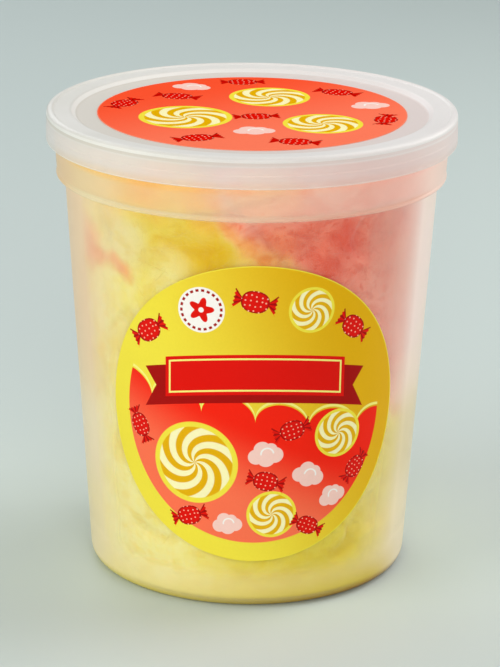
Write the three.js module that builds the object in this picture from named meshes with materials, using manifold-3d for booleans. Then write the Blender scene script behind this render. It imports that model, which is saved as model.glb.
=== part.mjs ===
// Tub of cotton candy: a translucent round tub with a press-on lid, packed with
// yellow and pink floss, with one round label on its wall and one on its lid.
// Millimetres, +Z up. The origin is the middle of the foot, on the surface that
// the tub stands on. The wall's label faces -Y.
import * as THREE from "three";
import { mergeVertices } from "three/addons/utils/BufferGeometryUtils.js";
import Module from "manifold-3d";

// All pieces
const facets = 60; // flats round every turned piece
const arcSteps = 4; // flats in each rounded corner of a profile
const plastic = 0.9; // wall of the tub and of the lid
const gap = 0.3; // clearance between pieces that touch

// Tub: a tapered wall on a rounded foot, then a wider collar with the rim on it
const wallFootRadius = 46.4; // the wall's outer face, carried down to z = 0
const wallTaper = 0.0633; // radius gained for each millimetre of height
const footCorner = 4; // rounding between wall and foot
const footInner = 38.5; // inside edge of the ring that the tub stands on
const footRecess = 1.2; // how far the base is raised inside that ring
const collarZ = 116.8; // underside of the collar
const collarRadius = 56; // outer face of the collar, at its foot
const collarBead = 0.5; // how far the bead round the collar's foot stands out
const collarBeadHeight = 1.2;
const rimZ = 133.9; // top of the rim
const rimRadius = 57.4; // outer edge of the rim
const rimHeight = 2.2;
const rimRound = 0.7; // rounding of the rim's edges

// Lid: a sunken panel, a raised ring round it, and a skirt over the rim
const lidTop = 135.3;
const panelDrop = 1.2;
const panelRadius = 50.5; // flat part of the panel
const ringInner = 51.9;
const ringOuter = 57.3;
const lidRadius = 59; // outer face of the skirt
const shoulderDrop = 2; // height of the rounding between ring and skirt
const skirtBottom = 126.9;
const skirtEdge = 0.4; // rounding of the skirt's lower edge

// Labels: two round stickers of one size
const labelRadius = 44.45;
const labelThickness = 0.35;
const labelZ = 59.5; // middle of the wall's label
const labelTurn = 2.2; // degrees that it sits to the right of the front

// Floss
const flossTop = 130; // edge of its flat top
const flossCrown = 0.6; // how much higher the middle of its top is
const flossTopRadius = 48;
const flossShoulderZ = 124.6; // where its side starts to round over
const foldTilt = 49; // degrees by which the pink floss slopes down to the right
const foldTurn = 6; // degrees about z
const foldOffset = 71.2; // distance of the fold from the origin
const foldDepth = 2.6; // height of the lumps where the two colours meet
const foldWave = 19; // spacing of those lumps
const foldReach = 150; // half width of the block that is cut off at the fold
const foldSteps = 26;

const wasm = await Module();
wasm.setup();

const wallRadius = (z) => wallFootRadius + wallTaper * z;
const degrees = THREE.MathUtils.degToRad;

// Profile points of a round corner about (radius, height), from one angle to another.
function roundCorner(radius, height, acrossBy, upBy, from, to) {
  const clockwise = to < from;
  const arc = new THREE.EllipseCurve(
    radius, height, acrossBy, upBy, degrees(from), degrees(to), clockwise,
  );
  return arc.getPoints(arcSteps).map((point) => [point.x, point.y]);
}

// A closed body of revolution about Z, from a profile of (radius, height).
function turned(profile) {
  const points = profile.map(([radius, height]) => new THREE.Vector2(radius, height));
  const geometry = new THREE.LatheGeometry(points, facets);
  geometry.rotateX(Math.PI / 2);
  return geometry;
}

function toManifold(geometry) {
  const bare = geometry.clone();
  bare.deleteAttribute("normal");
  bare.deleteAttribute("uv");
  const merged = mergeVertices(bare, 1e-4);
  const vertProperties = new Float32Array(merged.attributes.position.array);
  const triVerts = new Uint32Array(merged.index.array);
  return new wasm.Manifold(new wasm.Mesh({ numProp: 3, vertProperties, triVerts }));
}

function toGeometry(manifold) {
  const mesh = manifold.getMesh();
  const geometry = new THREE.BufferGeometry();
  geometry.setAttribute("position", new THREE.BufferAttribute(mesh.vertProperties, 3));
  geometry.setIndex(new THREE.BufferAttribute(mesh.triVerts, 1));
  return geometry;
}

// The rounding between a floor at some height and a face set in from the wall's outside.
function footProfile(inset, floor) {
  const corner = footCorner - inset;
  const lean = THREE.MathUtils.radToDeg(Math.atan(wallTaper));
  const middle = wallRadius(floor + corner) - footCorner * Math.hypot(1, wallTaper);
  return roundCorner(middle, floor + corner, corner, corner, -90, -lean);
}

function makeTub() {
  const floor = footRecess + plastic;
  const beadTop = collarZ + collarBeadHeight;
  const beadEdge = collarBeadHeight / 4;
  const rimBottom = rimZ - rimHeight;
  const collarTop = collarRadius + wallTaper * (rimBottom - collarZ);
  const mouth = collarTop - plastic;
  const inside = wallRadius(collarZ) - plastic;
  const stepTop = collarZ + plastic;
  return turned([
    [0, footRecess],
    [footInner - footRecess, footRecess],
    [footInner, 0],
    ...footProfile(0, 0),
    [wallRadius(collarZ), collarZ],
    [collarRadius, collarZ],
    [collarRadius + collarBead, collarZ + beadEdge],
    [collarRadius + collarBead, beadTop - beadEdge],
    [collarRadius, beadTop],
    [collarTop, rimBottom],
    [rimRadius, rimBottom + rimRound],
    ...roundCorner(rimRadius - rimRound, rimZ - rimRound, rimRound, rimRound, 0, 90),
    [mouth, rimZ - rimRound],
    [collarRadius - plastic, stepTop + plastic],
    [collarRadius - 2 * plastic, stepTop],
    [inside, stepTop],
    ...footProfile(plastic, floor).reverse(),
    [0, floor],
  ]);
}

function makeLid() {
  const panelZ = lidTop - panelDrop;
  const skirtTop = lidTop - shoulderDrop;
  const skirtInside = lidRadius - plastic;
  const ringUnder = lidTop - plastic;
  return turned([
    [0, panelZ - plastic],
    [panelRadius + plastic / 2, panelZ - plastic],
    [ringInner + plastic / 2, ringUnder],
    [ringOuter - plastic / 2, ringUnder],
    [skirtInside, skirtTop - plastic / 2],
    [skirtInside, skirtBottom],
    [lidRadius - skirtEdge, skirtBottom],
    [lidRadius, skirtBottom + skirtEdge],
    ...roundCorner(ringOuter, skirtTop, lidRadius - ringOuter, shoulderDrop, 0, 90),
    [ringInner, lidTop],
    [panelRadius, panelZ],
    [0, panelZ],
  ]);
}

// A round sticker laid on the wall: the part of a thin shell, just clear of the
// wall, that lies inside the circle once the wall is rolled out flat.
function makeFrontLabel() {
  const near = labelZ - labelRadius;
  const far = labelZ + labelRadius;
  const shellInner = gap * Math.hypot(1, wallTaper);
  const shellOuter = shellInner + labelThickness;
  const shell = turned([
    [wallRadius(near) + shellInner, near],
    [wallRadius(near) + shellOuter, near],
    [wallRadius(far) + shellOuter, far],
    [wallRadius(far) + shellInner, far],
    [wallRadius(near) + shellInner, near],
  ]);
  const outlineSteps = 56;
  const points = [];
  for (let i = 0; i < outlineSteps; i += 1) {
    const angle = (2 * Math.PI * i) / outlineSteps;
    const z = labelZ + labelRadius * Math.sin(angle);
    const alongWall = labelRadius * Math.cos(angle);
    points.push(new THREE.Vector2(wallRadius(z) * Math.sin(alongWall / wallRadius(z)), z));
  }
  const cutter = new THREE.ExtrudeGeometry(new THREE.Shape(points), {
    depth: lidRadius,
    bevelEnabled: false,
  });
  cutter.rotateX(Math.PI / 2);
  cutter.rotateZ(degrees(labelTurn));
  return toGeometry(toManifold(shell).intersect(toManifold(cutter)));
}

function makeLidLabel() {
  const geometry = new THREE.CylinderGeometry(labelRadius, labelRadius, labelThickness, facets);
  geometry.rotateX(Math.PI / 2);
  geometry.translate(0, 0, lidTop - panelDrop + gap + labelThickness / 2);
  return geometry;
}

// The whole filling, out to the inside of the tub.
function flossBody() {
  const clear = plastic + gap;
  const floor = footRecess + clear;
  const stepZ = collarZ + clear;
  const collarInside = collarRadius - clear;
  return turned([
    [0, floor],
    ...footProfile(clear, floor),
    [wallRadius(collarZ) - clear, collarZ],
    [wallRadius(collarZ) - clear, stepZ],
    [collarInside - clear, stepZ],
    [collarInside, stepZ + clear],
    ...roundCorner(
      flossTopRadius, flossShoulderZ, collarInside - flossTopRadius, flossTop - flossShoulderZ, 0, 90,
    ),
    [0, flossTop + flossCrown],
  ]);
}

// The block beyond the lumpy fold where the pink floss begins.
function pinkBlock(clearance) {
  const outline = new THREE.Shape();
  outline.moveTo(-foldReach, 0);
  for (let i = 1; i <= foldSteps; i += 1) {
    outline.lineTo(foldReach * ((2 * i) / foldSteps - 1), 0);
  }
  outline.lineTo(foldReach, foldReach);
  outline.lineTo(-foldReach, foldReach);
  const block = new THREE.ExtrudeGeometry(outline, {
    depth: 2 * foldReach,
    steps: foldSteps,
    bevelEnabled: false,
  });
  block.translate(0, 0, -foldReach);
  const place = block.attributes.position;
  for (let i = 0; i < place.count; i += 1) {
    if (place.getY(i) < gap) {
      const lump = Math.sin(place.getX(i) / foldWave);
      const ripple = Math.cos(place.getZ(i) / foldWave + lump);
      place.setY(i, foldDepth * lump * ripple - clearance);
    }
  }
  const tilt = degrees(foldTilt);
  const down = new THREE.Vector3(Math.cos(tilt), 0, -Math.sin(tilt));
  const outward = new THREE.Vector3(Math.sin(tilt), 0, Math.cos(tilt));
  const across = new THREE.Vector3().crossVectors(down, outward);
  block.translate(0, foldOffset, 0);
  block.applyMatrix4(new THREE.Matrix4().makeBasis(down, outward, across));
  block.rotateZ(degrees(foldTurn));
  return toManifold(block);
}

function plasticMaterial(color) {
  return new THREE.MeshStandardMaterial({
    color,
    roughness: 0.35,
    metalness: 0,
    transparent: true,
    opacity: 0.5,
  });
}

function mattMaterial(color, roughness) {
  return new THREE.MeshStandardMaterial({ color, roughness, metalness: 0 });
}

const filling = toManifold(flossBody());
const pinkFloss = toGeometry(filling.intersect(pinkBlock(0)));
const yellowFloss = toGeometry(filling.subtract(pinkBlock(gap)));

const pieces = [
  ["tub", makeTub(), plasticMaterial("#e9e3d8")],
  ["lid", makeLid(), plasticMaterial("#e6e3de")],
  ["yellow_floss", yellowFloss, mattMaterial("#eed98a", 0.95)],
  ["pink_floss", pinkFloss, mattMaterial("#f0a08c", 0.95)],
  ["front_label", makeFrontLabel(), mattMaterial("#ecd832", 0.4)],
  ["lid_label", makeLidLabel(), mattMaterial("#fb6a45", 0.4)],
];

const tubOfCottonCandy = new THREE.Group();
for (const [name, geometry, material] of pieces) {
  const mesh = new THREE.Mesh(geometry, material);
  mesh.name = name;
  tubOfCottonCandy.add(mesh);
}

export default tubOfCottonCandy;
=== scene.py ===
import math
import random
from functools import partial

import bmesh
import bpy
from mathutils import Matrix, Vector, noise


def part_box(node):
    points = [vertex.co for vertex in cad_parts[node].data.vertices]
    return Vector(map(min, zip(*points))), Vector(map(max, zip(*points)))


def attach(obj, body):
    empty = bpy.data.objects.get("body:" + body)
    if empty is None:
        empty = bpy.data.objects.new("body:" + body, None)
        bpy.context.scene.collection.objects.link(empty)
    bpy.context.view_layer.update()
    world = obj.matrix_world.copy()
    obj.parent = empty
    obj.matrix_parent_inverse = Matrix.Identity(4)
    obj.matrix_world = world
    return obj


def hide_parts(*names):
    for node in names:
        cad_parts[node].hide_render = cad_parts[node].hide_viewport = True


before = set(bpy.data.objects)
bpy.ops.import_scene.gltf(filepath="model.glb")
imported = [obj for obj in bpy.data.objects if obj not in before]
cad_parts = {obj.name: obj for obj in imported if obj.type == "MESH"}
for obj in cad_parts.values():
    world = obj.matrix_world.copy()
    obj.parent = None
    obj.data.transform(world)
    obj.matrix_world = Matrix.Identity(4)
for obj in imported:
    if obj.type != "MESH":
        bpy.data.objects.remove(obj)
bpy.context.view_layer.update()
print("frame loaded:", ", ".join(sorted(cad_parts)))

mm = 0.001


# camera, made first
cameraValues = {
    "lens": 156.27,
    "place": (0.00015, -0.80894, 0.32957),  # metres from the middle of the foot
    "down": 17.951,  # degrees below level
    "roll": 0.722,
    "clipStart": 0.01,
}


def makeCamera(values):
    data = bpy.data.cameras.new("tubCamera")
    data.lens = values["lens"]
    data.clip_start = values["clipStart"]
    camera = bpy.data.objects.new("tubCamera", data)
    bpy.context.scene.collection.objects.link(camera)
    tilt = Matrix.Rotation(math.radians(90 - values["down"]), 4, "X")
    roll = Matrix.Rotation(math.radians(values["roll"]), 4, "Z")
    camera.matrix_world = Matrix.Translation(values["place"]) @ tilt @ roll
    bpy.context.scene.camera = camera


makeCamera(cameraValues)
print("camera set")


# helpers for meshes
def finishPiece(name, bm, node, material, sharpFrom=40):
    # turns a bmesh into a piece that stands for a node of the frame
    mesh = bpy.data.meshes.new(name)
    bm.to_mesh(mesh)
    bm.free()
    return finishMesh(name, mesh, node, material, sharpFrom)


def finishMesh(name, mesh, node, material, sharpFrom):
    # sharpFrom: degrees from which an edge stays sharp
    mesh.polygons.foreach_set("use_smooth", [True] * len(mesh.polygons))
    if sharpFrom:
        mesh.set_sharp_from_angle(angle=math.radians(sharpFrom))
    piece = bpy.data.objects.new(name, mesh)
    bpy.context.scene.collection.objects.link(piece)
    mesh.materials.append(material)
    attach(piece, "root")
    if node:
        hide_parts(node)
    return piece


def drawOutline(points):
    # a chain of (radius, height) in mm, from the axis and back to it
    bm = bmesh.new()
    corners = [bm.verts.new((radius * mm, 0, height * mm)) for radius, height in points]
    for start, end in zip(corners, corners[1:]):
        bm.edges.new((start, end))
    return bm


def turnRound(bm, steps):
    bmesh.ops.spin(bm, geom=bm.verts[:] + bm.edges[:], cent=(0, 0, 0), axis=(0, 0, 1),
                   dvec=(0, 0, 0), angle=math.tau, steps=steps, use_merge=True)
    bmesh.ops.remove_doubles(bm, verts=bm.verts, dist=0.002 * mm)
    bmesh.ops.recalc_face_normals(bm, faces=bm.faces)


def turnOutline(outline, inner, steps, arc):
    # outline: (radius, height, rounding) in mm; arc: segments of a rounding
    # the corners numbered in inner get 1 in the attribute of that name
    bm = drawOutline([corner[:2] for corner in outline])
    side = bm.verts.layers.float.new("inner")
    corners = bm.verts[:]
    for index in inner:
        corners[index][side] = 1.0
    for corner, (_, _, rounding) in zip(corners, outline):
        if rounding:
            bmesh.ops.bevel(bm, geom=[corner], offset=rounding * mm, offset_type="OFFSET",
                            affect="VERTICES", segments=arc, profile=0.5, material=-1)
    turnRound(bm, steps)
    return bm


# helpers for materials
def paint(red, green, blue):
    # linear light from a painter's 0 to 255 values, in which the dictionaries give every colour
    parts = [value / 255 for value in (red, green, blue)]
    linear = [part / 12.92 if part <= 0.04045 else ((part + 0.055) / 1.055) ** 2.4 for part in parts]
    return (*linear, 1.0)


def setInputs(node, inputs):
    for name, value in inputs.items():
        socket = node.inputs[name]
        if isinstance(value, bpy.types.NodeSocket):
            node.id_data.links.new(value, socket)
        else:
            socket.default_value = paint(*value) if socket.type == "RGBA" else value


def addNode(tree, kind, inputs=None, **settings):
    made = tree.nodes.new("ShaderNode" + kind)
    for name, value in settings.items():
        setattr(made, name, value)
    setInputs(made, inputs or {})
    return made.outputs


def joinNode(kind, inputs, **settings):
    # a node in the tree of the first socket among its inputs
    tree = next(value.id_data for value in inputs.values() if isinstance(value, bpy.types.NodeSocket))
    return addNode(tree, kind, inputs, **settings)


def mathNode(operation, first, second=0.0, third=0.0, clamp=False):
    inputs = {0: first, 1: second, 2: third}
    return joinNode("Math", inputs, operation=operation, use_clamp=clamp)[0]


plus = partial(mathNode, "ADD")
minus = partial(mathNode, "SUBTRACT")
times = partial(mathNode, "MULTIPLY")
timesPlus = partial(mathNode, "MULTIPLY_ADD")
absolute = partial(mathNode, "ABSOLUTE")
sine = partial(mathNode, "SINE")
least = partial(mathNode, "MINIMUM")


def awayFrom(value, middle):
    return absolute(minus(value, middle))


def vectorNode(operation, first, second=(0.0, 0.0, 0.0)):
    made = joinNode("VectorMath", {0: first, 1: second}, operation=operation)
    return made["Value" if operation in ("LENGTH", "DISTANCE", "DOT_PRODUCT") else "Vector"]


def mixColours(amount, under, over, blend="MIX"):
    return joinNode("Mix", {0: amount, 6: under, 7: over}, data_type="RGBA", blend_type=blend)[2]


def rangeNode(value, low, high, to=(0.0, 1.0), smooth=True):
    inputs = {"Value": value, "From Min": low, "From Max": high, "To Min": to[0], "To Max": to[1]}
    return joinNode("MapRange", inputs, interpolation_type="SMOOTHSTEP" if smooth else "LINEAR")[0]


def noiseNode(place, scale, detail=2.0, roughness=0.5, distortion=0.0):
    return joinNode("TexNoise", {"Vector": place, "Scale": scale, "Detail": detail,
                                 "Roughness": roughness, "Distortion": distortion})[0]


def bumpNode(height, strength, distance):
    return joinNode("Bump", {"Height": height, "Strength": strength, "Distance": distance})[0]


def splitNode(vector):
    return joinNode("SeparateXYZ", {"Vector": vector})


socketKinds = {"Place": "Vector", "Centre": "Vector", "Normal": "Vector", "Colour": "Color"}


def newSocket(tree, label, side):
    # a socket that socketKinds doesn't name is one number
    kind = "NodeSocket" + socketKinds.get(label, "Float")
    return tree.interface.new_socket(label, in_out=side, socket_type=kind)


def startGroup(name, inputs):
    # inputs: name -> starting value, or None
    tree = bpy.data.node_groups.new(name, "ShaderNodeTree")
    for label, start in inputs.items():
        socket = newSocket(tree, label, "INPUT")
        if start is not None:
            socket.default_value = start
    return tree, tree.nodes.new("NodeGroupInput").outputs


def finishGroup(tree, outputs):
    for label in outputs:
        newSocket(tree, label, "OUTPUT")
    setInputs(tree.nodes.new("NodeGroupOutput"), outputs)
    return tree


def startMaterial(name, principled):
    material = bpy.data.materials.new(name)
    material.use_nodes = True
    shader = material.node_tree.nodes["Principled BSDF"]
    setInputs(shader, principled)
    return material, material.node_tree, shader


# shared effects
def makeMouldedGroup():
    # faint waviness and fine grain of thin moulded plastic, with a cloudy haze
    tree, given = startGroup("mouldedPlastic", {"Cloud Size": 30.0, "Roughness": 0.3, "Depth": 0.1})
    place = addNode(tree, "TexCoord")["Object"]
    frost = joinNode("TexWhiteNoise", {"Vector": place})["Value"]
    cloud = noiseNode(place, given["Cloud Size"], 3.0)
    grain = noiseNode(place, 900.0)
    rough = timesPlus(cloud, 0.1, -0.05)
    height = timesPlus(grain, 0.12, cloud)
    return finishGroup(tree, {
        "Haze": rangeNode(cloud, 0.3, 0.7),
        "Grain": minus(frost, 0.5),
        "Roughness": plus(rough, given["Roughness"], clamp=True),
        "Normal": bumpNode(height, given["Depth"], 0.4 * mm),
    })


def makeSpunGroup():
    # mottled tufts, pulled streaks and fine threads of sugar; Place is the position with a ragged drift
    tree, given = startGroup("spunSugar", {"Tuft Size": 45.0, "Ragged": 0.006, "Depth": 0.4})
    place = addNode(tree, "TexCoord")["Object"]
    drift = joinNode("TexNoise", {"Vector": place, "Scale": 70.0, "Detail": 3.0})["Color"]
    centred = vectorNode("SUBTRACT", drift, (0.5, 0.5, 0.5))
    ragged = vectorNode("ADD", place, vectorNode("MULTIPLY", centred, given["Ragged"]))
    flat = joinNode("Mapping", {"Vector": ragged, "Scale": (1.0, 1.0, 1.7)})[0]
    pulled = joinNode("Mapping", {"Vector": ragged, "Rotation": (0.3, 0.5, 0.0),
                                  "Scale": (1.0, 1.0, 0.22)})[0]
    tuft = noiseNode(flat, given["Tuft Size"], 4.0, 0.6)
    blotch = noiseNode(flat, times(given["Tuft Size"], 2.6))
    speck = noiseNode(flat, times(given["Tuft Size"], 8.0), 3.0, 0.6)
    streak = noiseNode(pulled, 210.0, 3.0, 0.55, 0.6)
    thread = noiseNode(pulled, 520.0, 4.0, 0.6, 1.6)
    threads = rangeNode(awayFrom(thread, 0.5), 0.06, 0.0)
    fine = timesPlus(threads, 0.25, streak)
    height = timesPlus(tuft, 2.0, fine)
    return finishGroup(tree, {
        "Place": ragged,
        "Mottle": rangeNode(tuft, 0.34, 0.68),
        "Blotches": rangeNode(blotch, 0.5, 0.66),
        "Specks": rangeNode(speck, 0.54, 0.7),
        "Streaks": rangeNode(streak, 0.36, 0.66),
        "Threads": threads,
        "Normal": bumpNode(height, given["Depth"], 0.5 * mm),
    })


def makePatchGroup():
    # a soft round cloud of colour about a centre
    tree, given = startGroup("softPatch", {"Place": None, "Centre": None, "Size": 0.02})
    away = vectorNode("DISTANCE", given["Place"], given["Centre"])
    share = mathNode("DIVIDE", away, given["Size"])
    return finishGroup(tree, {"Mask": rangeNode(share, 1.0, 0.25)})


mouldedGroup = makeMouldedGroup()
spunGroup = makeSpunGroup()
patchGroup = makePatchGroup()


def makeClearPlastic(name, values):
    material, tree, shader = startMaterial(name, {"IOR": 1.49, "Specular IOR Level": values["shine"],
                                                  "Specular Tint": values["shineTint"]})
    skin = addNode(tree, "Group", {"Cloud Size": values["cloudSize"], "Roughness": values["roughness"],
                                   "Depth": values["depth"]}, node_tree=mouldedGroup)
    spread = splitNode(addNode(tree, "TexCoord")["Object"])
    surface = addNode(tree, "NewGeometry")
    reach = 50 * mm  # from the middle to where the colour of a side is full
    side = rangeNode(spread["X"], -reach, reach)
    # painted light: darker and yellower on the left, lighter on the right where the light from the right
    # falls, each side tinted by the floss glowing through
    colour = mixColours(side, values["shadedLeftColour"], values["litRightColour"])
    colour = mixColours(times(skin["Haze"], 0.3), colour, values["hazeColour"])
    # cover: milk, its grain, more at the silhouette and in the painted reflections of the lamps to the
    # sides
    alpha = rangeNode(skin["Haze"], 0.0, 1.0, to=values["milk"], smooth=False)
    alpha = timesPlus(skin["Grain"], values["grain"], alpha)
    edge = addNode(tree, "LayerWeight", {"Blend": 0.5})["Facing"]
    edge = mathNode("POWER", edge, values["edgePower"])
    alpha = timesPlus(edge, values["edgeMilk"], alpha, clamp=True)
    for start, end, milk in values["paintedReflections"]:
        paintedReflection = rangeNode(spread["X"], start * mm, end * mm)
        alpha = timesPlus(paintedReflection, milk, alpha, clamp=True)
    light = addNode(tree, "LightPath")["Is Shadow Ray"]
    alpha = timesPlus(light, -values["lightThrough"], alpha, clamp=True)
    # tinted bands; facing is 1 away from the silhouette of the wall
    outward = vectorNode("NORMALIZE", joinNode("CombineXYZ", {0: spread["X"], 1: spread["Y"]})[0])
    rim = joinNode("LayerWeight", {"Blend": 0.5, "Normal": outward})["Facing"]
    facing = rangeNode(rim, 0.8, 0.4)
    for low, high, fade, milk, rimKept, leftTint, rightTint in values["bands"]:
        above = rangeNode(spread["Z"], (low - fade) * mm, low * mm)
        below = rangeNode(spread["Z"], (high + fade) * mm, high * mm)
        band = times(above, below)
        grainy = timesPlus(skin["Grain"], milk * values["bandGrain"], milk)
        alpha = timesPlus(band, grainy, alpha, clamp=True)
        cover = times(band, facing) if rimKept else band
        colour = mixColours(cover, colour, mixColours(side, leftTint, rightTint))
    # clear: the inner side of a face, the underside of the step near the top, the marked inner faces
    alpha = timesPlus(surface["Backfacing"], -values["innerClear"], alpha, clamp=True)
    normal = splitNode(surface["Normal"])
    step = times(rangeNode(normal["Z"], -0.2, -0.7), rangeNode(spread["Z"], 90 * mm, 100 * mm))
    alpha = timesPlus(step, -values["stepClear"], alpha, clamp=True)
    inner = addNode(tree, "Attribute", attribute_name="inner")["Fac"]
    alpha = times(alpha, rangeNode(inner, 0.7, 0.3))
    setInputs(shader, {"Base Color": colour, "Roughness": skin["Roughness"], "Normal": skin["Normal"],
                       "Alpha": alpha})
    return material


# tub
tubValues = {
    "facets": 192,
    "arc": 5,  # segments of a rounding
    "wallFootRadius": 46.4,  # outer face of the wall, carried down to the floor
    "wallTaper": 0.0633,
    "plastic": 0.9,
    "footInner": 38.5,
    "footRecess": 1.2,
    "footRounding": 3.7,
    "collarZ": 116.8,
    "collarRadius": 56.0,
    "beadOut": 0.2,
    "beadHeight": 1.2,
    "beadRamps": (0.3, 0.4),  # mm of height over which the bead grows out and goes back
    "rimHeight": 2.2,
    "rimRamp": 0.5,
    "finish": {
        # painted light: darker on the left, lighter and whiter on the right where the light from the right
        # falls
        "shadedLeftColour": (244, 206, 162),
        "litRightColour": (254, 229, 220),
        "hazeColour": (252, 236, 206),
        "milk": (0.0, 0.05),  # how much the plastic covers what is behind it
        "edgeMilk": 3.3,  # at the silhouette, and how steeply it falls off towards the middle
        "edgePower": 3.5,
        # painted reflections of the lamps to the sides, as cloudier bands: mm across where one starts and
        # is full, milk
        "paintedReflections": [(31.5, 34.0, 0.08), (-32.0, -44.0, 0.12)],
        # tinted bands: from and to which height, mm over which they fade, milk, whether the
        # silhouette keeps its own colour, left and right colour
        "bands": [
            (-1.0, 30.0, 50.0, -0.08, False, (250, 232, 184), (248, 230, 196)),
            (38.0, 46.0, 16.0, 0.0, False, (250, 232, 196), (237, 219, 180)),
            # painted light: the foot glows in the floss's yellow, with painted shade making it darker on
            # the right
            (-1.0, 1.0, 14.0, 0.9, True, (246, 229, 152), (214, 184, 16)),
            # painted shade: the foot darkens to brown where it meets the floor
            (-1.0, 0.6, 3.8, 0.1, False, (236, 216, 92), (138, 82, 0)),
            (118.0, 126.0, 2.5, 0.0, False, (238, 204, 158), (246, 214, 200)),
            (118.0, 126.0, 2.5, 0.45, True, (236, 212, 168), (255, 214, 202)),
            (125.8, 128.0, 2.0, 0.05, True, (248, 202, 122), (255, 206, 194)),
            # the bead is milkier where the plastic is thicker, and its paler tint is a painted highlight
            # of the light it catches
            (116.8, 118.2, 0.6, 0.2, True, (236, 222, 182), (242, 194, 176)),
        ],
        "innerClear": 1.0,  # the inner side of a face adds no cloudiness of its own
        "stepClear": 1.0,  # nor does the underside of the collar
        "lightThrough": 1.0,
        "shine": 0.3,
        "shineTint": (255, 238, 200),
        "roughness": 0.35,
        "grain": 0.2,
        "bandGrain": 1.6,  # share of a band's milk
        "depth": 0.06,
        "cloudSize": 34.0,
    },
}


def wallRadius(height):
    return tubValues["wallFootRadius"] + tubValues["wallTaper"] * height


def makeTub(values):
    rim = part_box("tub")[1]
    rimRadius, rimZ = rim[0] / mm, rim[2] / mm
    plastic = values["plastic"]
    floor = values["footRecess"] + plastic
    collarZ, collar = values["collarZ"], values["collarRadius"]
    beadTop = collarZ + values["beadHeight"]
    bead = collar + values["beadOut"]
    rampUp, rampBack = values["beadRamps"]
    rimBottom = rimZ - values["rimHeight"]
    collarTop = collar + values["wallTaper"] * (rimBottom - collarZ)
    outline = [
        (0, values["footRecess"], 0),
        (values["footInner"] - values["footRecess"], values["footRecess"], 0.6),
        (values["footInner"], 0, 0.5),
        (wallRadius(0), 0, values["footRounding"]),
        (wallRadius(collarZ), collarZ, 0.5),
        (collar, collarZ, 0.12),
        (bead, collarZ + rampUp, 0.15),
        (bead, beadTop - rampBack, 0.2),
        (collar, beadTop, 0.2),
        (collarTop, rimBottom, 0.3),
        (rimRadius, rimBottom + values["rimRamp"], 0.4),
        (rimRadius, rimZ, 0.7),
        (collarTop - plastic, rimZ, 0.3),
        (collar - plastic, collarZ + 2 * plastic, 0.7),
        (wallRadius(collarZ) - plastic, collarZ + plastic, 0.5),
        (wallRadius(floor) - plastic, floor, values["footRounding"] - plastic),
        (0, floor, 0),
    ]
    # inner: from the inner edge of the rim on
    bm = turnOutline(outline, range(12, len(outline)), values["facets"], values["arc"])
    material = makeClearPlastic("tubPlastic", values["finish"])
    return finishPiece("tub_shell", bm, "tub", material)


makeTub(tubValues)
print("tub turned")


# lid
lidValues = {
    "facets": 192,
    "arc": 5,
    "plastic": 0.9,
    "panelDrop": 1.2,
    "panelRadius": 50.5,
    "ringInner": 51.9,
    "ringOuter": 57.3,
    "beadInner": 56.8,
    "beadRise": 0.45,  # of the bead round the top, above the ring
    "beadRamp": 0.4,
    "skirtLine": 130.5,  # height below which the skirt is a little wider
    "skirtRamp": 0.35,
    "skirtInset": 0.09,
    "innerShoulder": 3.0,  # mm below the top where the inside of the skirt starts
    "finish": {
        # painted light: the lid is darker on the left and lighter on the right, where the light from the
        # right falls
        "shadedLeftColour": (222, 220, 213),
        "litRightColour": (238, 233, 231),
        "hazeColour": (242, 240, 238),
        "milk": (0.84, 0.9),
        "edgeMilk": 0.3,
        "edgePower": 1.2,
        "paintedReflections": [],
        "bands": [
            (100.0, 132.6, 1.2, -0.1, False, (230, 223, 218), (232, 214, 210)),
            (100.0, 127.2, 2.6, -0.16, False, (230, 220, 210), (234, 212, 206)),
            # a painted highlight along the skirt's lower edge, over the milkier edge of the plastic
            (126.9, 127.2, 0.2, 0.12, False, (244, 236, 228), (246, 226, 220)),
            # painted shade: a darker band on the sunken panel and on the skirt just below its top edge
            (133.6, 134.3, 0.3, 0.0, False, (217, 211, 201), (230, 216, 212)),
            # painted highlight: a lighter band on the step up from the panel and on the rounded top edge
            # of the skirt
            (134.4, 135.0, 0.2, 0.0, False, (238, 236, 230), (236, 230, 228)),
        ],
        "innerClear": 0.6,
        "stepClear": 0.0,
        "lightThrough": 0.8,
        "shine": 0.35,
        "shineTint": (255, 255, 255),
        "roughness": 0.38,
        "grain": 0.1,
        "bandGrain": 0.4,
        "depth": 0.08,
        "cloudSize": 40.0,
    },
}


def makeLid(values):
    low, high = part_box("lid")
    radius, top, bottom = high[0] / mm, high[2] / mm, low[2] / mm
    plastic = values["plastic"]
    panel = top - values["panelDrop"]
    upper = radius - values["skirtInset"]
    outline = [
        (0, panel - plastic, 0),
        (values["panelRadius"] + plastic / 2, panel - plastic, 0.6),
        (values["ringInner"] + plastic / 2, top - plastic, 0.5),
        (values["ringOuter"] - plastic / 2, top - plastic, 0.8),
        (radius - plastic, top - values["innerShoulder"], 0.8),
        (radius - plastic, bottom, 0.25),
        (radius, bottom, 0.35),
        (radius, values["skirtLine"], 0.12),
        (upper, values["skirtLine"] + values["skirtRamp"], 0.12),
        (upper, top + values["beadRise"], 1.2),
        (values["beadInner"] + values["beadRamp"], top + values["beadRise"], 0.2),
        (values["beadInner"], top, 0.2),
        (values["ringInner"], top, 0.6),
        (values["panelRadius"], panel, 0.6),
        (0, panel, 0),
    ]
    # inner: up to the lower edge of the skirt
    bm = turnOutline(outline, range(6), values["facets"], values["arc"])
    material = makeClearPlastic("lidPlastic", values["finish"])
    return finishPiece("lid_shell", bm, "lid", material)


makeLid(lidValues)
print("lid turned")


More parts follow.
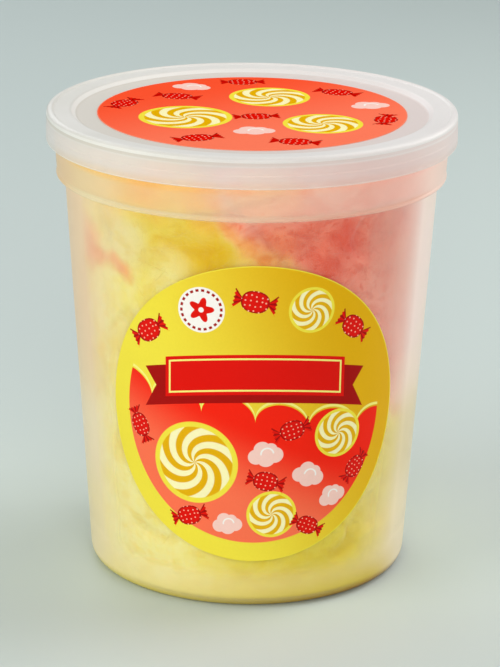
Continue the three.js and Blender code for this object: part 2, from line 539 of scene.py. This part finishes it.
# floss
flossValues = {
    "facets": 384,
    "spacing": (2.4, 0.85, 1.6),  # mm between rings of corners on the floor, the wall and the top
    "reach": {"yellow": 0.3, "pink": 0.26},  # mm, how far it reaches into the plastic
    "topShoulder": (48.0, 124.6, 130.0),  # mm: radius of the flat top, where it rounds over, its height
    "crown": 0.6,
    "stepSlope": 0.7,  # mm below and above the step of the tub over which the floss widens
    "driftSize": 24.0,  # mm, of the slow bend that all the relief shares
    # size across and up in mm, depth in mm
    "hollows": (21.0, 15.0, 1.1),
    "creases": (30.0, 14.0, 0.34),
    "hollowNoise": (0.1, 0.5),  # noise at which a hollow starts and is full, and a patch of creases
    "creaseNoise": (0.0, 0.25),
    "creaseWidth": 0.08,
    # painted shade: shares by which a hollow and a crease deepen the floss's colour
    "hollowShade": 0.5,
    "creaseShade": 0.7,
    "flush": (4.0, 14.0),  # mm, up to which height it is pressed flat, and from which it is free
    "layers": [(6.5, 2.6, 0.12), (3.0, 1.3, 0.07)],
    "layerBack": 0.4,  # share of its depth by which a layer stands back on the whole
    "fold": {"tilt": 49.0, "turn": 6.0, "offset": 71.2},  # degrees and mm, where the two sorts meet
    "foldPress": 0.5,  # mm by which the two sorts press into each other
    # middle, size, mm by which the pink sort spreads over the yellow
    "foldPushes": [((0, -54, 114), 19, 4.8), ((44, -26, 64), 22, 7.0)],
    "foldColour": (250, 160, 80),
    "foldMix": 0.6,
    "foldWidth": 5.0,  # mm on each side over which one colour turns to the other
    "tuftsPerMetre": 48.0,
    "ragged": 0.01,
    "fineDepth": 0.36,
    "streakTone": 0.45,  # shares of streaks and tufts in the step from pale to deep
    "mottleTone": 0.55,
    "shadeDip": 0.7,
    "threadTint": 0.06,
    "subsurface": 0.35,
    "scatter": 6.0,  # mm
    "inks": {
        "olive": (230, 206, 58),
        "gold": (232, 186, 0),
        "cream": (250, 238, 170),
        "straw": (236, 220, 160),
        "amber": (255, 172, 60),
        "peach": (252, 190, 130),
        "blush": (250, 132, 100),
        "rose": (246, 130, 102),
        # painted shade: a darker rose for the floss on its right side
        "shadedRose": (226, 118, 92),
        "flame": (244, 86, 54),
        "ember": (230, 54, 28),
    },
    "sorts": {
        "yellow": {
            "pale": (250, 238, 160),
            "deep": (247, 227, 108),
            "dip": (247, 235, 186),
            "specks": 0.2,
            "blotches": 0.45,
            "thread": (255, 232, 130),
            "threadPale": 0.24,  # how far a loose thread goes towards that colour
            # ink, middle and size in mm, strength
            "patches": [
                ("olive", (-24, -47, 112), 26, 0.75),
                ("gold", (-12, -52, 108), 20, 0.5),
                ("gold", (-11, -52, 104.5), 10, 1.0),
                ("gold", (-19.5, -49.5, 105), 7, 0.6),
                ("gold", (-25, -47, 107), 6, 0.5),
                ("straw", (-37, -38, 107), 14, 0.8),
                ("cream", (-24, -48, 101), 9, 0.45),
                ("cream", (-46, -26, 92), 20, 0.6),
                ("cream", (-34, -34, 14), 25, 0.6),
                ("olive", (14, -46, 6), 40, 0.8),
                ("olive", (36, -32, 12), 28, 0.8),
                ("olive", (43, -25, 44), 26, 0.8),
                ("olive", (48, -12, 46), 18, 0.7),
                ("olive", (34, 38, 96), 30, 0.7),
                ("olive", (-44, 24, 60), 26, 0.6),
                ("amber", (2, -54, 106), 9, 0.6),
                ("amber", (-11, -56, 127), 18, 1.0),
                ("amber", (-29, -48, 128), 17, 1.0),
                ("peach", (-44, -36, 127), 20, 0.7),
                ("peach", (-52, 6, 122), 34, 0.8),
                ("peach", (-52, -10, 104), 20, 0.7),
                ("blush", (-46, -26, 103), 10, 1.0),
                ("blush", (-42, -32, 100), 5.5, 0.7),
                ("blush", (-38.5, -36, 99.3), 5.5, 0.75),
                ("blush", (-35.5, -39, 98.2), 5, 0.7),
                ("blush", (-24, 48, 90), 8, 0.5),
                ("blush", (-17, 51, 85), 9, 0.55),
            ],
        },
        "pink": {
            "pale": (253, 187, 166),
            "deep": (251, 149, 124),
            "dip": (246, 208, 198),
            "specks": 0.9,
            "blotches": 0.7,
            "thread": (250, 184, 164),
            "threadPale": 0.08,
            "patches": [
                ("peach", (4, -57, 126), 15, 0.7),
                ("amber", (8, -54, 106.5), 9, 0.6),
                ("flame", (26, -47, 104), 26, 0.55),
                ("ember", (27, -46, 110), 8, 0.6),
                ("ember", (20, -49, 101), 9, 0.5),
                ("rose", (10, -53, 109), 20, 0.6),
                ("rose", (41, -41, 124), 20, 0.9),
                # painted shade on the right side of the floss
                ("shadedRose", (44, -31, 104), 24, 0.95),
                ("shadedRose", (45, -27, 80), 27, 0.75),
                ("rose", (40, 34, 104), 26, 0.7),
            ],
        },
    },
    "wisps": {
        "seed": 11,
        "yellow": 1500,
        "pink": 750,
        "length": (10.0, 44.0),
        "thickness": (0.03, 0.07),
        "lift": (-0.045, 0.005),  # mm of the middle of a thread above the floss
        "points": 12,
        "heading": 0.55,  # radians by which they stray from level
        "bend": 0.16,
        "starts": (4.0, 122.0),  # mm, heights at which they start and between which they stay
        "heights": (3.0, 123.0),
        "foldGap": 1.0,  # mm that they keep from the fold
    },
}


def foldAxis(values):
    tilt, turn = (math.radians(values["fold"][key]) for key in ("tilt", "turn"))
    return Vector((math.sin(tilt) * math.cos(turn), math.sin(tilt) * math.sin(turn), math.cos(tilt)))


def fromFold(place, values):
    # mm past the fold, more than 0 on the pink side
    return place.dot(foldAxis(values)) - values["fold"]["offset"]


def smoothStep(value, low, high):
    share = min(1.0, max(0.0, (value - low) / (high - low)))
    return share * share * (3 - 2 * share)


def reliefAt(place, values):
    # mm by which the floss stands back from the wall at a place given in mm, and its share of painted
    # shade, which deepens the colour in its hollows and creases
    bend = place / values["driftSize"]
    drift = Vector([noise.noise(bend + Vector((9 * axis, 4, 2))) for axis in range(3)])

    def rough(across, up, seed):
        # each seed takes another part of the noise
        return noise.noise(Vector((place.x / across, place.y / across, place.z / up + seed)) + drift)

    across, up, depth = values["hollows"]
    hollow = smoothStep(rough(across, up, 0), *values["hollowNoise"])
    back = hollow * depth
    across, up, depth = values["creases"]
    crease = max(0.0, 1 - abs(rough(across, up, 30)) / values["creaseWidth"])
    crease *= smoothStep(rough(across, across, 60), *values["creaseNoise"])
    back += crease * depth
    for index, (across, up, swing) in enumerate(values["layers"]):
        back += (rough(across, up, 90 + 30 * index) + values["layerBack"]) * swing
    shade = min(1.0, values["hollowShade"] * hollow + values["creaseShade"] * crease)
    above = smoothStep(place.z, *values["flush"])
    return max(back, 0.0) * above, shade * above


def innerRadius(height):
    # inside of the plastic at a height, mm
    plastic = tubValues["plastic"]
    if height < tubValues["collarZ"] + plastic:
        return wallRadius(height) - plastic
    return tubValues["collarRadius"] - plastic + tubValues["wallTaper"] * (height - tubValues["collarZ"])


def evenSteps(corners, spacing):
    # points at even distances along a line of corners, without its last one
    points = []
    for start, end in zip(corners, corners[1:]):
        length = math.dist(start, end)
        count = max(1, round(length / spacing))
        points += [[a + (b - a) * step / count for a, b in zip(start, end)] for step in range(count)]
    return points


def cavityOutline(values):
    # radius and height in mm inside the tub, from the middle of the floor up the wall to the top
    plastic = tubValues["plastic"]
    floor = tubValues["footRecess"] + plastic
    corner = tubValues["footRounding"] - plastic
    floorEnd = innerRadius(floor + corner) - corner
    step = tubValues["collarZ"] + plastic
    topRadius, shoulder, top = values["topShoulder"]
    wide = innerRadius(shoulder) - topRadius
    turns = [math.pi / 16 * index for index in range(9)]  # a quarter turn in eight steps
    side = []
    for turn in turns:
        side.append((floorEnd + corner * math.sin(turn), floor + corner - corner * math.cos(turn)))
    for height in (step - values["stepSlope"], step + values["stepSlope"]):
        side.append((innerRadius(height), height))
    for turn in turns:
        side.append((topRadius + wide * math.cos(turn), shoulder + (top - shoulder) * math.sin(turn)))
    middle = (0, top + values["crown"])
    lines = [[(0, floor), side[0]], side, [side[-1], middle]]
    points = []
    for line, spacing in zip(lines, values["spacing"]):
        points += evenSteps(line, spacing)
    return points + [middle]


def makeFlossCore(filling, reach, side, values):
    # side: -1 for the sort below the fold, 1 for the sort above it
    bm = filling.copy()
    # painted shade of the hollows and creases, carried to the material
    shade = bm.verts.layers.float.new("shade")
    bm.normal_update()
    for vert in bm.verts:
        back, vert[shade] = reliefAt(vert.co / mm, values)
        vert.co += vert.normal * (reach - back) * mm
    axis = foldAxis(values)
    middle = axis * (values["fold"]["offset"] - side * values["foldPress"]) * mm
    bmesh.ops.bisect_plane(bm, geom=bm.verts[:] + bm.edges[:] + bm.faces[:], plane_co=middle,
                           plane_no=axis, clear_outer=side < 0, clear_inner=side > 0)
    rim = [edge for edge in bm.edges if edge.is_boundary]
    filled = bmesh.ops.holes_fill(bm, edges=rim)["faces"]
    bmesh.ops.triangulate(bm, faces=filled)
    for edge in rim:
        edge.smooth = False
    bmesh.ops.recalc_face_normals(bm, faces=bm.faces)
    return bm


def makeFlossMaterial(name, values):
    # both sorts share one field of colour, so that they pass into each other along the fold
    material, tree, shader = startMaterial(name, {
        "Roughness": 0.85, "Specular IOR Level": 0.15, "Sheen Weight": 0.2, "Sheen Roughness": 0.5,
        "Subsurface Scale": values["scatter"] * mm, "Subsurface Radius": (1.0, 0.7, 0.4),
    })
    spun = addNode(tree, "Group", {"Tuft Size": values["tuftsPerMetre"], "Ragged": values["ragged"],
                                   "Depth": values["fineDepth"]}, node_tree=spunGroup)

    def patch(centre, size, strength):
        inputs = {"Place": spun["Place"], "Centre": Vector(centre) * mm, "Size": size * mm}
        mask = joinNode("Group", inputs, node_tree=patchGroup)["Mask"]
        return times(mask, strength)

    tone = times(spun["Mottle"], values["mottleTone"])
    tone = timesPlus(spun["Streaks"], values["streakTone"], tone)
    sorts = []
    for colours in values["sorts"].values():
        colour = mixColours(tone, colours["pale"], colours["deep"])
        for ink, centre, size, strength in colours["patches"]:
            colour = mixColours(patch(centre, size, strength), colour, values["inks"][ink])
        sorts.append(colour)

    past = vectorNode("DOT_PRODUCT", spun["Place"], foldAxis(values))
    for centre, size, push in values["foldPushes"]:
        past = plus(past, patch(centre, size, push * mm))
    offset, width = values["fold"]["offset"] * mm, values["foldWidth"] * mm
    pinkness = rangeNode(past, offset - width, offset + width)
    colour = mixColours(pinkness, *sorts)
    middle = absolute(timesPlus(pinkness, 2.0, -1.0))
    middle = rangeNode(middle, 1.0, 0.0, to=(0.0, values["foldMix"]))
    colour = mixColours(middle, colour, values["foldColour"])

    def either(key):
        # what the two sorts say of themselves, passing from one to the other
        first, second = (sort[key] for sort in values["sorts"].values())
        if isinstance(first, float):
            return rangeNode(pinkness, 0.0, 1.0, to=(first, second), smooth=False)
        return mixColours(pinkness, first, second)

    # painted shade: the colour is dipped deeper in the hollows and creases, along with the floss's own
    # blotches and specks
    shade = addNode(tree, "Attribute", attribute_name="shade")["Fac"]
    deepness = times(shade, values["shadeDip"])
    deepness = timesPlus(spun["Blotches"], either("blotches"), deepness)
    deepness = timesPlus(spun["Specks"], either("specks"), deepness)
    dipped = mixColours(1.0, colour, either("dip"), blend="MULTIPLY")
    colour = mixColours(deepness, colour, dipped)
    loose = addNode(tree, "Attribute", attribute_name="thread")["Fac"]
    thread = times(loose, either("threadPale"))
    thread = timesPlus(spun["Threads"], values["threadTint"], thread)
    colour = mixColours(thread, colour, either("thread"))
    soft = timesPlus(loose, -values["subsurface"], values["subsurface"], clamp=True)
    setInputs(shader, {"Base Color": colour, "Normal": spun["Normal"], "Subsurface Weight": soft})
    return material


def makeWisps(name, values, count, reach, side, draw):
    # loose spun threads laid over the floss, half sunk into it
    wisps = values["wisps"]
    data = bpy.data.curves.new(name, "CURVE")
    data.dimensions = "3D"
    data.bevel_depth = mm
    data.bevel_resolution = 0
    data.use_fill_caps = True
    lowest, highest = wisps["heights"]
    made = 0
    while made < count:
        height = draw.uniform(*wisps["starts"])
        turn = draw.uniform(0, math.tau)
        heading = draw.gauss(0, wisps["heading"]) + (math.pi if draw.random() < 0.5 else 0)
        step = draw.uniform(*wisps["length"]) / wisps["points"]
        thick = draw.uniform(*wisps["thickness"])
        lift = draw.uniform(*wisps["lift"])
        bend = draw.gauss(0, wisps["bend"] / 2)
        route = []
        for _ in range(wisps["points"]):
            outward = Vector((math.sin(turn), -math.cos(turn), 0))
            place = outward * innerRadius(height) + Vector((0, 0, height))
            across = innerRadius(height) + reach - reliefAt(place, values)[0] + lift
            route.append(outward * across + Vector((0, 0, height)))
            turn += step * math.cos(heading) / across
            height += step * math.sin(heading)
            heading += bend + draw.gauss(0, wisps["bend"] / 2)
        if any(fromFold(place, values) * side < wisps["foldGap"] or not lowest < place.z < highest
               for place in route):
            continue
        spline = data.splines.new("POLY")
        spline.points.add(len(route) - 1)
        for index, (point, place) in enumerate(zip(spline.points, route)):
            point.co = (*(place * mm), 1)
            # thick in the middle, thin at both ends
            point.radius = thick * math.sin(math.pi * (index + 0.4) / (len(route) - 0.2))
        made += 1
    drawn = bpy.data.objects.new(name + "_drawn", data)
    bpy.context.scene.collection.objects.link(drawn)
    mesh = bpy.data.meshes.new_from_object(drawn.evaluated_get(bpy.context.evaluated_depsgraph_get()))
    bpy.data.objects.remove(drawn)
    mesh.name = name
    marks = mesh.attributes.new("thread", "FLOAT", "POINT")
    marks.data.foreach_set("value", [1.0] * len(mesh.vertices))
    return mesh


def makeFloss(values):
    draw = random.Random(values["wisps"]["seed"])
    filling = drawOutline(cavityOutline(values))
    turnRound(filling, values["facets"])
    for sort, side in (("yellow", -1), ("pink", 1)):
        material = makeFlossMaterial(sort + "Sugar", values)
        bm = makeFlossCore(filling, values["reach"][sort], side, values)
        finishPiece(sort + "_mass", bm, sort + "_floss", material, sharpFrom=None)
        mesh = makeWisps(sort + "_wisps", values, values["wisps"][sort], values["reach"][sort], side, draw)
        finishMesh(sort + "_wisps", mesh, None, material, sharpFrom=180)
        print(sort, "floss filled")
    filling.free()


makeFloss(flossValues)


# printed motifs, each drawn about the middle of its own Place
def planeParts(place):
    parts = splitNode(place)
    return parts["X"], parts["Y"]


def softInside(value, width):
    # 1 where the value is above 0, with a soft edge
    return rangeNode(value, -width, width)


def makePinwheelGroup():
    # a round boiled sweet of radius 1 with swirled stripes
    tree, given = startGroup("pinwheelSweet", {"Place": None, "Stripes": 7.0, "Twist": 2.2})
    across, up = planeParts(given["Place"])
    away = vectorNode("LENGTH", given["Place"])
    angle = mathNode("ARCTAN2", up, across)
    turned = timesPlus(away, given["Twist"], angle)
    wave = sine(times(turned, given["Stripes"]))
    return finishGroup(tree, {
        "Swirl": rangeNode(wave, -0.22, 0.22),
        "Disc": rangeNode(away, 1.0, 0.975),
        "Rim": rangeNode(away, 0.85, 0.88),
    })


def makeWrapGroup():
    # a dotted oval sweet in a twisted wrapper, 2 across from end to end
    tree, given = startGroup("wrappedSweet", {"Place": None})
    across, up = planeParts(given["Place"])
    wide = absolute(across)
    tall = absolute(up)
    # a rounded oval, grown to 1 at its edge
    grown = plus(mathNode("POWER", mathNode("DIVIDE", wide, 0.64), 2.3),
                 mathNode("POWER", mathNode("DIVIDE", tall, 0.52), 2.3))
    dots = joinNode("TexVoronoi", {"Vector": given["Place"], "Scale": 4.2, "Randomness": 0.3},
                    voronoi_dimensions="2D")["Distance"]
    fan = timesPlus(minus(wide, 0.58), 1.05, 0.07)
    frill = sine(times(up, 34.0))
    reach = timesPlus(frill, 0.03, 0.96)
    room = least(minus(fan, tall), minus(reach, wide))
    turn = mathNode("DIVIDE", up, mathNode("MAXIMUM", fan, 0.05))
    pleats = sine(times(turn, 9.0))
    return finishGroup(tree, {
        "Body": rangeNode(grown, 1.04, 0.96),
        "Edge": rangeNode(grown, 0.6, 0.9),
        "Dots": rangeNode(dots, 0.2, 0.12),
        "Ends": softInside(room, 0.02),
        "Pleats": rangeNode(pleats, -0.2, 0.6),
    })


def makePuffGroup():
    # a small cloud of floss, about 2 across
    tree, given = startGroup("flossPuff", {"Place": None})
    lobes = [((-0.52, -0.08, 0), 0.44), ((0.5, -0.12, 0), 0.46), ((-0.14, 0.3, 0), 0.46),
             ((0.32, 0.24, 0), 0.36), ((0.0, -0.24, 0), 0.5)]
    nearest = 9.0  # further than any lobe
    for centre, size in lobes:
        away = vectorNode("DISTANCE", given["Place"], centre)
        nearest = least(nearest, minus(away, size))
    away = vectorNode("DISTANCE", given["Place"], (0.1, 0.0, 0))
    ring = rangeNode(awayFrom(away, 0.34), 0.06, 0.03)
    upper = rangeNode(planeParts(given["Place"])[1], -0.06, 0.04)
    return finishGroup(tree, {"Body": rangeNode(nearest, 0.02, -0.02), "Fold": times(ring, upper)})


def makeRibbonGroup():
    # a plain bowed banner with notched tails; sizes are in the units of Place
    tree, given = startGroup(
        "ribbon", {"Place": None, "Half Width": 26.0, "Half Height": 6.0, "Bow": 0.004})
    across, up = planeParts(given["Place"])
    wide = absolute(across)
    square = times(across, across)
    level = timesPlus(square, given["Bow"], up)
    side = minus(given["Half Width"], wide)
    edge = minus(given["Half Height"], absolute(level))
    inside = least(side, edge)
    lowered = awayFrom(level, -2.4)
    room = minus(given["Half Height"], lowered)
    notch = mathNode("DIVIDE", lowered, given["Half Height"])
    reach = plus(given["Half Width"], timesPlus(notch, 3.6, 3.0))
    tail = least(room, minus(reach, wide))
    return finishGroup(tree, {
        "Body": softInside(inside, 0.08),
        "Line": rangeNode(awayFrom(inside, 1.3), 0.32, 0.2),
        "Tails": softInside(tail, 0.08),
    })


def makeBadgeGroup():
    # a plain round badge of radius 1 with a ring of beads and a five-petalled flower
    tree, given = startGroup("flowerBadge", {"Place": None})
    across, up = planeParts(given["Place"])
    away = vectorNode("LENGTH", given["Place"])
    angle = mathNode("ARCTAN2", up, across)
    band = rangeNode(awayFrom(away, 0.84), 0.07, 0.04)
    beads = sine(times(angle, 22.0))
    petals = sine(timesPlus(angle, 5.0, 1.2))
    outline = timesPlus(petals, 0.13, 0.42)
    flower = softInside(minus(outline, away), 0.02)
    heart = rangeNode(away, 0.09, 0.13)
    return finishGroup(tree, {
        "Disc": rangeNode(away, 1.0, 0.96),
        "Ring": times(band, rangeNode(beads, -0.5, 0.1)),
        "Flower": times(flower, heart),
    })


def makeScallopGroup():
    # a field below a slanting row of round scallops; sizes are in the units of Place
    tree, given = startGroup(
        "scallopedField", {"Place": None, "Level": 0.0, "Slope": 0.0, "Scallop": 12.0})
    across, up = planeParts(given["Place"])
    share = mathNode("FRACT", mathNode("DIVIDE", across, given["Scallop"]))
    centred = timesPlus(share, 2.0, -1.0)
    square = times(centred, centred)
    arc = mathNode("SQRT", minus(1.0, square, clamp=True))
    rise = times(times(given["Scallop"], 0.42), arc)
    slant = timesPlus(across, given["Slope"], given["Level"])
    inside = minus(plus(slant, rise), up)
    return finishGroup(tree, {
        "Field": softInside(inside, 0.12),
        "Line": rangeNode(awayFrom(inside, -0.9), 0.5, 0.3),
    })


def makeSheetGroup():
    # fine paper tooth and slightly uneven ink of a printed, glossed sheet
    tree, given = startGroup("printedSheet", {"Colour": None, "Roughness": 0.35})
    place = addNode(tree, "TexCoord")["Object"]
    tooth = noiseNode(place, 1500.0)
    cloud = noiseNode(place, 60.0)
    shade = timesPlus(tooth, 0.06, timesPlus(cloud, 0.04, 0.95))
    level = joinNode("CombineXYZ", {0: shade, 1: shade, 2: shade})[0]
    rough = plus(given["Roughness"], -0.06)
    height = timesPlus(cloud, 2.0, tooth)
    return finishGroup(tree, {
        "Colour": mixColours(1.0, given["Colour"], level, blend="MULTIPLY"),
        "Roughness": timesPlus(cloud, 0.12, rough),
        "Normal": bumpNode(height, 0.08, 0.2 * mm),
    })


scallopGroup = makeScallopGroup()
sheetGroup = makeSheetGroup()
motifGroups = {
    "pinwheels": makePinwheelGroup(),
    "puffs": makePuffGroup(),
    "wraps": makeWrapGroup(),
    "ribbons": makeRibbonGroup(),
    "badges": makeBadgeGroup(),
}
print("motifs drawn")


# prints
inkValues = {
    "lemon": (246, 228, 68),
    "gold": (232, 176, 6),
    "paleLemon": (252, 245, 130),
    "cream": (255, 248, 190),
    "coral": (255, 116, 80),
    "salmon": (255, 124, 92),
    "blaze": (255, 84, 48),
    "flame": (250, 34, 10),
    "red": (228, 16, 4),
    "wine": (166, 8, 4),
    "sugar": (255, 176, 150),
    "blush": (252, 208, 196),
    "white": (252, 246, 240),
    "cut": (250, 142, 112),
}

# a motif's parts from below, each with its ink and what is printed on it
motifInks = {
    "pinwheels": [("Disc", "gold", {"Swirl": "cream", "Rim": "lemon"})],
    "puffs": [("Body", "blush", {"Fold": "white"})],
    "wraps": [("Ends", "red", {"Pleats": "wine"}), ("Body", "red", {"Edge": "wine", "Dots": "sugar"})],
    "ribbons": [("Tails", "wine", {}), ("Body", "red", {"Line": "paleLemon"})],
    "badges": [("Disc", "white", {"Ring": "wine", "Flower": "red"})],
}

frontValues = {
    "shine": 0.1,
    "edgeInk": "lemon",
    "border": 5.6,  # mm of plain ground left round the coral field
    # painted shade: the ground deepens from lemon to gold towards the right and top, away from the light
    "groundSlant": 0.45,  # share of the height in the direction that the ground deepens
    "groundSpan": (-26.0, 40.0),  # mm along it
    "field": {"Level": -2.0, "Slope": -0.16, "Scallop": 15.2},
    # painted shade: the coral field deepens to flame red towards the top and right, away from the light
    "fieldSlant": (0.25, 0.55),  # shares of across and up, and the mm along that direction
    "fieldSpan": (-16.0, -2.0),
    # across and up from the middle, size, degrees turned; all sizes in mm
    "motifs": {
        "pinwheels": [(-17, -15, 12.5, 10), (24.5, -7, 7.4, 40), (15.5, 31, 6.8, 0), (5, -30, 7.2, 25)],
        "puffs": [(3, -11.5, 5.2, 8), (15.5, -18.5, 5.0, -14), (-7.5, -33, 4.4, 10), (23, -26, 4.4, 20)],
        "wraps": [(28.5, 24.5, 6.0, -38), (-31.5, 22.8, 6.2, 34), (-0.5, 34, 6.2, -12),
                  (10.5, -4.6, 5.6, 16), (3.2, -19.8, 5.6, -14), (30.6, -18.6, 5.4, 46),
                  (-18.5, -31.5, 5.6, 18), (15.5, -34.2, 5.2, -28), (-34.5, -6.5, 5.6, -62)],
        "ribbons": [(0, 12.5, 1, 0)],
        "badges": [(-15.5, 31, 6.8, 0)],
    },
}

lidPrintValues = {
    "shine": 0.0,
    "edgeInk": "cut",
    "groundSlant": -0.65,  # share of across in the direction that the ground deepens
    "groundSpan": (44.0, -36.0),
    "motifs": {
        "pinwheels": [(-19, -7, 13.5, 0), (20, -13, 11.5, 30), (5, 19, 12.0, 15)],
        "puffs": [(0.5, -22, 6.2, 12), (-18, 31, 6.0, -12), (34, 10, 6.0, 20)],
        "wraps": [(-37, 9, 7.0, 62), (-22, 18.5, 7.0, -16), (1.2, -5.2, 6.8, 8), (25, 26, 7.2, -24),
                  (38, -7, 6.6, 80), (12, -34, 7.2, -10), (-15, -31, 7.2, 22), (-3, 38, 6.8, 4)],
    },
}


def layMotif(colour, place, kind, spot):
    across, up, size, turn = spot
    own = joinNode("Mapping", {"Vector": place, "Location": (across, up, 0),
                               "Rotation": (0, 0, math.radians(turn)), "Scale": (size, size, 1)},
                   vector_type="TEXTURE")[0]
    motif = joinNode("Group", {"Place": own}, node_tree=motifGroups[kind])
    for part, ink, prints in motifInks[kind]:
        printed = inkValues[ink]
        for mask, over in prints.items():
            printed = mixColours(motif[mask], printed, inkValues[over])
        colour = mixColours(motif[part], colour, printed)
    return colour


def layFrontGround(place, away, radius, values):
    across, up = planeParts(place)
    # painted shade: the ground deepens from lemon to gold towards the right and top, away from the light
    slant = timesPlus(up, values["groundSlant"], across)
    ground = rangeNode(slant, *values["groundSpan"])
    colour = mixColours(ground, inkValues["lemon"], inkValues["gold"])
    slantAcross, slantUp = values["fieldSlant"]
    # painted shade: the coral field deepens to flame red towards the top and right, away from the light
    fieldShade = timesPlus(up, slantUp, times(across, slantAcross))
    fieldShade = rangeNode(fieldShade, *values["fieldSpan"])
    coral = mixColours(fieldShade, inkValues["coral"], inkValues["flame"])
    field = joinNode("Group", {"Place": place, **values["field"]}, node_tree=scallopGroup)
    inner = rangeNode(away, radius - values["border"], radius - values["border"] - 0.25)
    for part, ink in (("Line", inkValues["paleLemon"]), ("Field", coral)):
        colour = mixColours(times(field[part], inner), colour, ink)
    return colour


def layLidGround(place, away, radius, values):
    across, up = planeParts(place)
    slant = timesPlus(across, values["groundSlant"], up)
    ground = rangeNode(slant, *values["groundSpan"])
    return mixColours(ground, inkValues["blaze"], inkValues["salmon"])


def makePrint(name, radius, values, layGround):
    # place is in mm across and up from the middle of the sticker
    material, tree, shader = startMaterial(name, {"Specular IOR Level": values["shine"]})
    flat = addNode(tree, "UVMap", uv_map="flat")[0]
    place = joinNode("Mapping", {"Vector": flat, "Location": (-radius, -radius, 0),
                                 "Scale": (2 * radius, 2 * radius, 1)})[0]
    away = vectorNode("LENGTH", place)
    colour = layGround(place, away, radius, values)
    for kind, spots in values["motifs"].items():
        for spot in spots:
            colour = layMotif(colour, place, kind, spot)
    edge = rangeNode(away, radius - 0.35, radius - 0.2)
    colour = mixColours(edge, colour, inkValues[values["edgeInk"]])
    sheet = joinNode("Group", {"Colour": colour, "Roughness": 0.34}, node_tree=sheetGroup)
    setInputs(shader, {"Base Color": sheet["Colour"], "Roughness": sheet["Roughness"],
                       "Normal": sheet["Normal"]})
    return material


# labels
labelValues = {
    "thickness": 0.12,
    "clear": 0.02,  # gap to the plastic
    "rounds": 200,  # corners round the edge
    "rings": 22,
    "turn": 2.2,  # degrees to the right of the front
}


def flatDisc(radius, values):
    # a flat round sheet of even rings about the origin, facing +Z, mm, with its own flat UV map
    bm = bmesh.new()
    bmesh.ops.create_circle(bm, cap_ends=True, radius=radius, segments=values["rounds"])
    middle = bm.faces[:]
    for _ in range(values["rings"]):
        bmesh.ops.inset_region(bm, faces=middle, thickness=radius / (values["rings"] + 0.6),
                               use_even_offset=True, use_boundary=True)
    bmesh.ops.poke(bm, faces=middle)
    flat = bm.loops.layers.uv.new("flat")
    for face in bm.faces:
        for loop in face.loops:
            loop[flat].uv = [0.5 + part / (2 * radius) for part in loop.vert.co.xy]
    if sum(face.normal.z for face in bm.faces) < 0:
        bmesh.ops.reverse_faces(bm, faces=bm.faces)
    return bm


def thicken(bm, move):
    # closes a sheet into a thin body: move carries each outer corner off the inner one
    grown = bmesh.ops.extrude_face_region(bm, geom=bm.faces[:], use_keep_orig=True)
    for item in grown["geom"]:
        if isinstance(item, bmesh.types.BMVert):
            item.co = move(item.co)
    bmesh.ops.recalc_face_normals(bm, faces=bm.faces)


def makeFrontLabel(values):
    low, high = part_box("front_label")
    radius = (high[2] - low[2]) / 2 / mm
    middle = (high[2] + low[2]) / 2 / mm
    turn = math.radians(values["turn"])
    bm = flatDisc(radius, values)
    for vert in bm.verts:
        height = middle + vert.co.y
        wall = wallRadius(height)
        angle = vert.co.x / wall + turn
        out = wall + values["clear"]
        vert.co = Vector((out * math.sin(angle), -out * math.cos(angle), height)) * mm

    def outward(co):
        across = math.hypot(co.x, co.y)
        grow = (across + values["thickness"] * mm) / across
        return Vector((co.x * grow, co.y * grow, co.z))

    thicken(bm, outward)
    material = makePrint("frontPrint", radius, frontValues, layFrontGround)
    finishPiece("front_sticker", bm, "front_label", material)


def makeLidLabel(values):
    low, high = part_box("lid_label")
    radius = high[0] / mm
    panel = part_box("lid")[1][2] / mm - lidValues["panelDrop"]
    bm = flatDisc(radius, values)
    for vert in bm.verts:
        vert.co = Vector((vert.co.x, vert.co.y, panel + values["clear"])) * mm
    thicken(bm, lambda co: co + Vector((0, 0, values["thickness"] * mm)))
    material = makePrint("lidPrint", radius, lidPrintValues, layLidGround)
    finishPiece("lid_sticker", bm, "lid_label", material)


makeFrontLabel(labelValues)
makeLidLabel(labelValues)
print("labels laid on")


# floor, light and background
stageValues = {
    "floorSize": 12.0,
    "floor": (202, 214, 211),
    "floorRoughness": 0.6,
    "sky": (232, 238, 240),
    "skyStrength": 0.43,
    "aim": (0, 0, 0.06),
    # name: place, size, strength in watts, colour
    "lamps": {
        "window": ((-0.85, -0.5, 0.6), 0.8, 5.0, (255, 252, 246)),
        "right": ((0.7, 0.4, 0.4), 0.6, 2.8, (255, 250, 246)),
        "top": ((0.5, 0.1, 0.9), 0.4, 2.0, (255, 252, 250)),
        "front": ((0.15, -1.3, 0.6), 0.9, 6.8, (255, 252, 248)),
        "rear": ((-0.35, 0.9, 0.6), 0.6, 1.6, (250, 252, 255)),
    },
}


def makeFloor(values):
    bm = bmesh.new()
    bmesh.ops.create_grid(bm, x_segments=1, y_segments=1, size=values["floorSize"] / 2)
    mesh = bpy.data.meshes.new("floor")
    bm.to_mesh(mesh)
    bm.free()
    floor = bpy.data.objects.new("floor", mesh)
    bpy.context.scene.collection.objects.link(floor)
    inputs = {"Base Color": values["floor"], "Roughness": values["floorRoughness"]}
    mesh.materials.append(startMaterial("floorPaint", inputs)[0])


def makeLight(values):
    world = bpy.data.worlds.new("studio")
    world.use_nodes = True
    sky = {"Color": values["sky"], "Strength": values["skyStrength"]}
    setInputs(world.node_tree.nodes["Background"], sky)
    bpy.context.scene.world = world
    for name, (place, size, watts, colour) in values["lamps"].items():
        data = bpy.data.lights.new(name, "AREA")
        data.shape = "DISK"
        data.size = size
        data.energy = watts
        data.color = paint(*colour)[:3]
        lamp = bpy.data.objects.new(name, data)
        lamp.location = place
        aim = Vector(values["aim"]) - Vector(place)
        lamp.rotation_euler = aim.to_track_quat("-Z", "Y").to_euler()
        bpy.context.scene.collection.objects.link(lamp)
    bpy.context.scene.view_settings.view_transform = "Standard"


makeFloor(stageValues)
makeLight(stageValues)
print("stage set")
